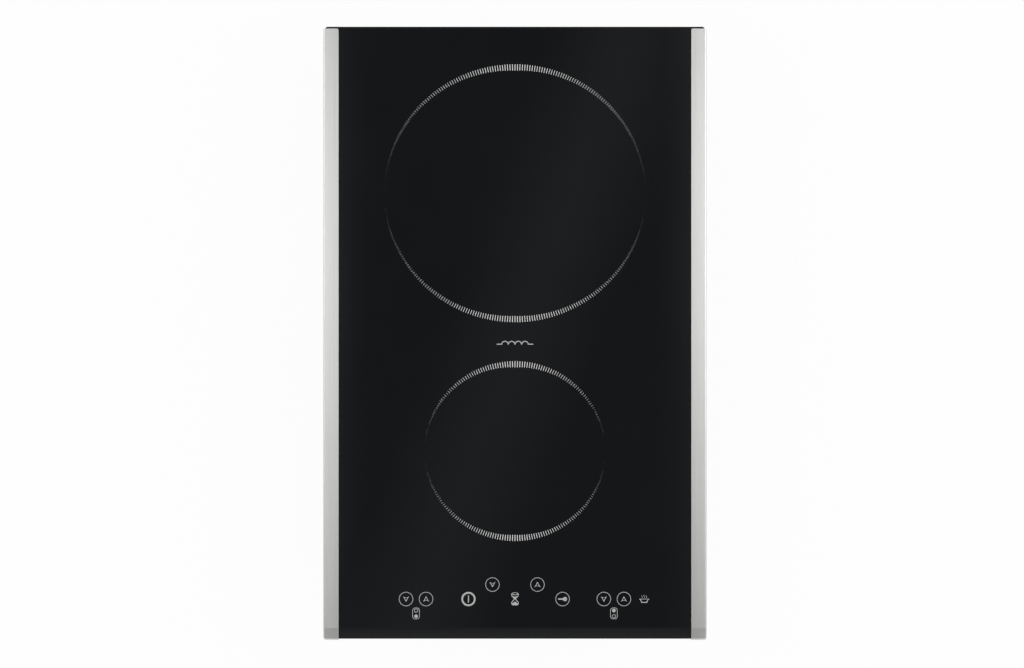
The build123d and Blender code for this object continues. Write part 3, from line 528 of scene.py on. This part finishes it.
def mesh_piece(name, points, faces, paint, body):
    mesh = bpy.data.meshes.new(name)
    mesh.from_pydata(points, [], faces)
    work = bmesh.new()
    work.from_mesh(mesh)
    bmesh.ops.recalc_face_normals(work, faces=work.faces)
    work.to_mesh(mesh)
    work.free()
    mesh.materials.append(paint)
    piece = bpy.data.objects.new(name, mesh)
    bpy.context.scene.collection.objects.link(piece)
    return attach(piece, body)


def print_on_glass(name, shapes, paint):
    """Raises flat outlines into a thin solid layer that lies on the glass."""
    points = []
    faces = []
    for loops in shapes:
        flat = [p for loop in loops for p in loop]
        base = len(points)
        top = base + len(flat)
        for z in (GLASS_TOP, GLASS_TOP + PRINT_THICKNESS):
            points += [(x * MM, y * MM, z * MM) for x, y in flat]
        for tri in tessellate_polygon([[Vector((x, y, 0)) for x, y in loop] for loop in loops]):
            faces += [[base + i for i in tri], [top + i for i in tri]]
        start = 0
        for loop in loops:
            for k in range(len(loop)):
                here = start + k
                following = start + (k + 1) % len(loop)
                faces.append([base + here, base + following, top + following, top + here])
            start += len(loop)
    mesh_piece(name, points, faces, paint, ROOT)


# Cooking zones: rings of short ticks, longest at the front and back, gone at the sides

def zone_ring(name, centre, radius, side_radius, count):
    shapes = []
    for k in range(count):
        turn = 2 * pi * k / count
        out_x = sin(turn)
        out_y = cos(turn)
        share = 1 - atan2(abs(out_x), abs(out_y)) / (pi / 2)
        if share < LEAST_TICK_SHARE:
            continue
        half = TICK_WIDTH * share ** TICK_TAPER / 2
        outer = radius + (side_radius - radius) * out_x ** 2
        inner = outer - TICK_LENGTH * share
        across = [(inner, -half), (outer, -half), (outer, half), (inner, half)]
        shapes.append([[(centre[0] + r * out_x + w * out_y, centre[1] + r * out_y - w * out_x)
                        for r, w in across]])
    print_on_glass(name, shapes, ring_paint)


zone_ring("zone_ring_large", LARGE_ZONE, LARGE_RADIUS, LARGE_SIDE_RADIUS, LARGE_TICKS)
zone_ring("zone_ring_small", SMALL_ZONE, SMALL_RADIUS, SMALL_SIDE_RADIUS, SMALL_TICKS)


# Control marks

def arrow_mark():
    """A circled dart that points down."""
    dart = mirrored([(-0.25, -2.0), (-1.35, 0.35), (-2.5, 2.1), (-0.8, 1.25)])
    hollow = [(-1.1, 1.0), (1.1, 1.0), (0.0, -1.3)]
    return [ring(KEY_RADIUS, KEY_LINE), [dart, hollow]]


def power_mark():
    """A bar in a broad circle."""
    return [ring(KEY_RADIUS, POWER_LINE), [rectangle(*POWER_BAR)]]


def lock_mark():
    """A circled key."""
    bow = arc(1.7, 150, -150, 2.0, 0.0, 24)
    shaft = [(-0.3, -0.6), (-3.5, -0.5), (-3.7, 0.0), (-3.5, 0.5), (-0.3, 0.6)]
    return [ring(KEY_RADIUS, KEY_LINE), [bow + shaft, circle(0.45, 2.8, 0.0, 16)]]


def hourglass_mark():
    """An hourglass with an oval top, open where there is no sand."""
    top = [(x, 3.9 + 0.47 * y) for x, y in arc(3.05, 0, 180, count=20)]
    sides = mirrored([(-3.05, 3.2), (-2.5, 1.9), (-0.9, 0.6), (-0.85, 0.0), (-2.55, -1.95), (-3.1, -3.1),
                      (-3.0, -4.0), (-2.4, -4.75), (-1.5, -5.1)])
    opening = circle(2.1, 0.0, 4.25, 24, 0.3)
    upper_left = [(0.0, 3.1), (-1.2, 3.2), (-2.55, 3.45), (-2.4, 2.5), (0.0, 1.8)]
    lower_left = [(0.0, -0.05), (-2.6, -2.95), (-2.3, -3.65), (0.0, -2.05)]
    voids = [half + [(-x, y) for x, y in reversed(half[1:-1])] for half in (upper_left, lower_left)]
    return [[top + sides, opening, *voids]]


def pot_mark():
    """A steaming pot."""
    outline = mirrored([(-4.1, 0.15), (-4.0, -0.25), (-3.25, -0.75), (-2.75, -1.75), (-2.3, -3.05)])
    inside = mirrored([(-2.85, -0.25), (-2.3, -1.5), (-1.35, -2.4)])
    shapes = [[outline, inside]]
    parts = 12
    for x, top in ((-1.75, 2.9), (0.0, 3.4), (1.75, 2.9)):
        wave = [(x + STEAM_SWING * sin(2 * pi * k / parts), STEAM_FOOT + (top - STEAM_FOOT) * k / parts)
                for k in range(parts + 1)]
        shapes.append([stroke(wave, STEAM_LINE)])
    return shapes


def indicator_mark(lit):
    """Which of the two zones a pair of keys belongs to: a filled dot for it, an open one for the other."""
    plate = [rounded(*PLATE), rounded(*PLATE_OPENING)]
    filled = [circle(DOT_RADIUS, 0.0, DOT_STEP * lit, 24)]
    return [plate, filled, ring(OPEN_DOT_RADIUS, KEY_LINE, 0.0, -DOT_STEP * lit)]


def coil_mark():
    """Four half turns in a row between two short leads."""
    turn = 2.7
    line = 0.75
    count = 4
    lead = 4.0
    join_angle = 2.0
    outer = turn + line / 2
    inner = turn - line / 2
    cross = degrees(acos(turn / outer))
    lead_angle = degrees(atan2(line, outer)) + join_angle
    lead_reach = sqrt(outer ** 2 - line ** 2)
    middles = [(2 * k + 1 - count) * turn for k in range(count)]
    start = middles[0] - turn - lead
    end = middles[-1] + turn + lead
    over = [(start, line), (middles[0] - lead_reach, line)]
    for k, x in enumerate(middles):
        first = 180 - (lead_angle if k == 0 else cross)
        last = lead_angle if k == count - 1 else cross
        half_turn = arc(outer, first, last, x, 0.0, 14)
        over += half_turn if k == 0 else half_turn[1:]
    over += [(middles[-1] + lead_reach, line), (end, line)]
    under = [(end, 0.0)]
    for x in reversed(middles):
        under += arc(inner, 0, 180, x, 0.0, 14)
    under += [(start, 0.0)]
    return [[over + under]]


marks = {
    "timer_down": moved(arrow_mark(), -TIMER_X, TIMER_Y),
    "timer_up": moved(arrow_mark(), TIMER_X, TIMER_Y, -1.0),
    "power": moved(power_mark(), POWER_X, KEY_Y),
    "lock": moved(lock_mark(), LOCK_X, KEY_Y),
    "hourglass": moved(hourglass_mark(), 0.0, KEY_Y),
    "pot": moved(pot_mark(), POT_X, KEY_Y),
    "coil": moved(coil_mark(), 0.0, COIL_MARK_Y),
}
for side, hand in ((-1, "left"), (1, "right")):
    marks[f"down_{hand}"] = moved(arrow_mark(), side * ZONE_X - ZONE_KEY_STEP, KEY_Y)
    marks[f"up_{hand}"] = moved(arrow_mark(), side * ZONE_X + ZONE_KEY_STEP, KEY_Y, -1.0)
    marks[f"zone_{hand}"] = moved(indicator_mark(side), side * ZONE_X, INDICATOR_Y)
for name, shapes in marks.items():
    print_on_glass(f"mark_{name}", shapes, mark_paint)


# Clamp screws with their threads

def threaded_screw(corner):
    """A hexagon-head screw in the place of the plain one, with a thread along its shank."""
    node = f"clamp_screw_{corner}"
    low, high = (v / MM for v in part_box(node))
    middle = (low + high) / 2
    apothem = (high.y - low.y) / 2
    head_top = low.z + HEAD_HEIGHT
    turns = [2 * pi * k / SCREW_SIDES for k in range(SCREW_SIDES)]

    def round_loop(radius, z):
        return [(radius, z)] * SCREW_SIDES

    def hexagon(turn):
        from_corner = (turn + pi / 6) % (pi / 3) - pi / 6
        return apothem / cos(pi / 6 - abs(from_corner))

    loops = [round_loop(radius, low.z + height) for radius, height in HEAD_FACE]
    loops.append([(hexagon(t), low.z + CHAMFER_SLOPE * (hexagon(t) - HEAD_FLAT) + CHAMFER_RISE)
                  for t in turns])
    loops.append([(hexagon(t), head_top) for t in turns])
    loops.append(round_loop(THREAD_MINOR + NECK_FILLET, head_top))
    loops.append(round_loop(THREAD_MINOR, head_top + NECK_LENGTH))
    step = THREAD_PITCH / THREAD_STEPS
    z = head_top + NECK_LENGTH + step
    while z < high.z - THREAD_END:
        phases = [(z / THREAD_PITCH - t / (2 * pi)) % 1.0 for t in turns]
        loops.append([(THREAD_MINOR + (THREAD_MAJOR - THREAD_MINOR) * (1 - abs(2 * phase - 1)), z)
                      for phase in phases])
        z += step
    loops.append(round_loop(THREAD_MINOR, high.z - POINT_LENGTH))
    loops.append(round_loop(THREAD_MINOR - POINT_TAPER, high.z))
    points = [((middle.x + r * cos(t)) * MM, (middle.y + r * sin(t)) * MM, h * MM)
              for loop in loops for t, (r, h) in zip(turns, loop)]
    faces = [list(range(SCREW_SIDES)), list(range(len(points) - SCREW_SIDES, len(points)))]
    for below in range(0, len(points) - SCREW_SIDES, SCREW_SIDES):
        above = below + SCREW_SIDES
        for i in range(SCREW_SIDES):
            j = (i + 1) % SCREW_SIDES
            faces.append([below + i, below + j, above + j, above + i])
    piece = mesh_piece(f"threaded_screw_{corner}", points, faces, slot_paints["zinc_steel"], node)
    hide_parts(node)


for corner in CORNERS:
    threaded_screw(corner)


# Camera, floor and light

def hang_camera():
    data = bpy.data.cameras.new("camera")
    data.lens = CAMERA_LENS
    data.sensor_width = SENSOR_WIDTH
    camera = bpy.data.objects.new("camera", data)
    camera.location = (CAMERA_X, CAMERA_Y, GLASS_TOP * MM + CAMERA_HEIGHT)
    bpy.context.scene.collection.objects.link(camera)
    bpy.context.scene.camera = camera


def stage_material(name):
    material = bpy.data.materials.new(name)
    material.use_nodes = True
    material.node_tree.nodes.clear()
    return material, Nodes(material.node_tree)


def flat_sheet(name, centre, size, material, turn=0.0):
    """A level rectangle of the stage, turned by some degrees."""
    mesh = bpy.data.meshes.new(name)
    mesh.from_pydata([(x * size[0], y * size[1], 0.0) for x, y in rectangle(1.0, 1.0)], [], [[0, 1, 2, 3]])
    mesh.materials.append(material)
    sheet = bpy.data.objects.new(name, mesh)
    sheet.location = centre
    sheet.rotation_euler = (0.0, 0.0, radians(turn))
    bpy.context.scene.collection.objects.link(sheet)
    return sheet


def pale_floor():
    """White to the eye and in reflections, with a faint shadow under the object, and open from below."""
    material, nodes = stage_material("floor_white")
    path = nodes.add("ShaderNodeLightPath").outputs
    seen = path["Is Camera Ray"]
    for ray in ("Is Glossy Ray", "Is Transmission Ray"):
        seen = nodes.calc("MAXIMUM", seen, path[ray])
    share = nodes.calc("MULTIPLY", seen, FLOOR_GLOW)
    matt = nodes.add("ShaderNodeBsdfDiffuse", {"Color": FLOOR_COLOUR}).outputs["BSDF"]
    glow = nodes.add("ShaderNodeEmission").outputs["Emission"]
    above = nodes.add("ShaderNodeMixShader", {"Fac": share, 1: matt, 2: glow}).outputs["Shader"]
    below = nodes.add("ShaderNodeBsdfTransparent").outputs["BSDF"]
    from_below = nodes.add("ShaderNodeNewGeometry").outputs["Backfacing"]
    either = nodes.add("ShaderNodeMixShader", {"Fac": from_below, 1: above, 2: below}).outputs["Shader"]
    nodes.add("ShaderNodeOutputMaterial", {"Surface": either})
    flat_sheet("floor", (0.0, 0.0, -FLOOR_GAP * MM), (FLOOR_SIZE, FLOOR_SIZE), material)


def reflector_card(name, x, size, turn, strength, across, along):
    """A level sheet over the object that only shows in reflections, graded across and along."""
    material, nodes = stage_material(name)
    place = nodes.add("ShaderNodeTexCoord").outputs["Generated"]
    crosswise = nodes.greys(nodes.axis(place, "X"), across, "EASE")
    lengthwise = nodes.greys(nodes.axis(place, "Y"), along, "EASE")
    light = nodes.add("ShaderNodeEmission", {
        "Color": nodes.mixed(1.0, crosswise, lengthwise, "MULTIPLY"), "Strength": strength})
    clear = nodes.add("ShaderNodeBsdfTransparent")
    both = nodes.add("ShaderNodeAddShader", {0: light.outputs["Emission"], 1: clear.outputs["BSDF"]})
    nodes.add("ShaderNodeOutputMaterial", {"Surface": both.outputs["Shader"]})
    sheet = flat_sheet(name, (x, 0.0, CARD_HEIGHT), size, material, turn)
    sheet.visible_camera = False
    sheet.visible_diffuse = False
    sheet.visible_shadow = False


def studio_world():
    """Bright towards the horizon and dark overhead, as in a studio with light walls."""
    world = bpy.data.worlds.new("studio")
    world.use_nodes = True
    nodes = Nodes(world.node_tree)
    place = nodes.add("ShaderNodeTexCoord").outputs["Generated"]
    levels = nodes.greys(nodes.axis(place, "Z"), WORLD_LEVELS)
    nodes.put(world.node_tree.nodes["Background"], "Color", levels)
    bpy.context.scene.world = world


def soft_lamp(name, place, size, power):
    data = bpy.data.lights.new(name, "AREA")
    data.shape = "RECTANGLE"
    data.size, data.size_y = size
    data.energy = power
    lamp = bpy.data.objects.new(name, data)
    lamp.location = place
    aim = Vector(LAMP_AIM) - Vector(place)
    lamp.rotation_euler = aim.to_track_quat("-Z", "Y").to_euler()
    bpy.context.scene.collection.objects.link(lamp)


hang_camera()
pale_floor()
studio_world()
reflector_card("sheen_card", SHEEN_X, SHEEN_SIZE, SHEEN_TURN, SHEEN_GLOW, SHEEN_ACROSS, SHEEN_ALONG)
trim_card_x = TRIM_CARD_START + TRIM_CARD_SIZE[0] / 2
for hand, x, turn, along in (("left", -trim_card_x, 180.0, LEFT_TRIM_ALONG),
                             ("right", trim_card_x, 0.0, RIGHT_TRIM_ALONG)):
    reflector_card(f"trim_card_{hand}", x, TRIM_CARD_SIZE, turn, TRIM_GLOW, TRIM_OUTWARDS, along)
for lamp in LAMPS:
    soft_lamp(*lamp)
bpy.context.scene.view_settings.view_transform = "Standard"
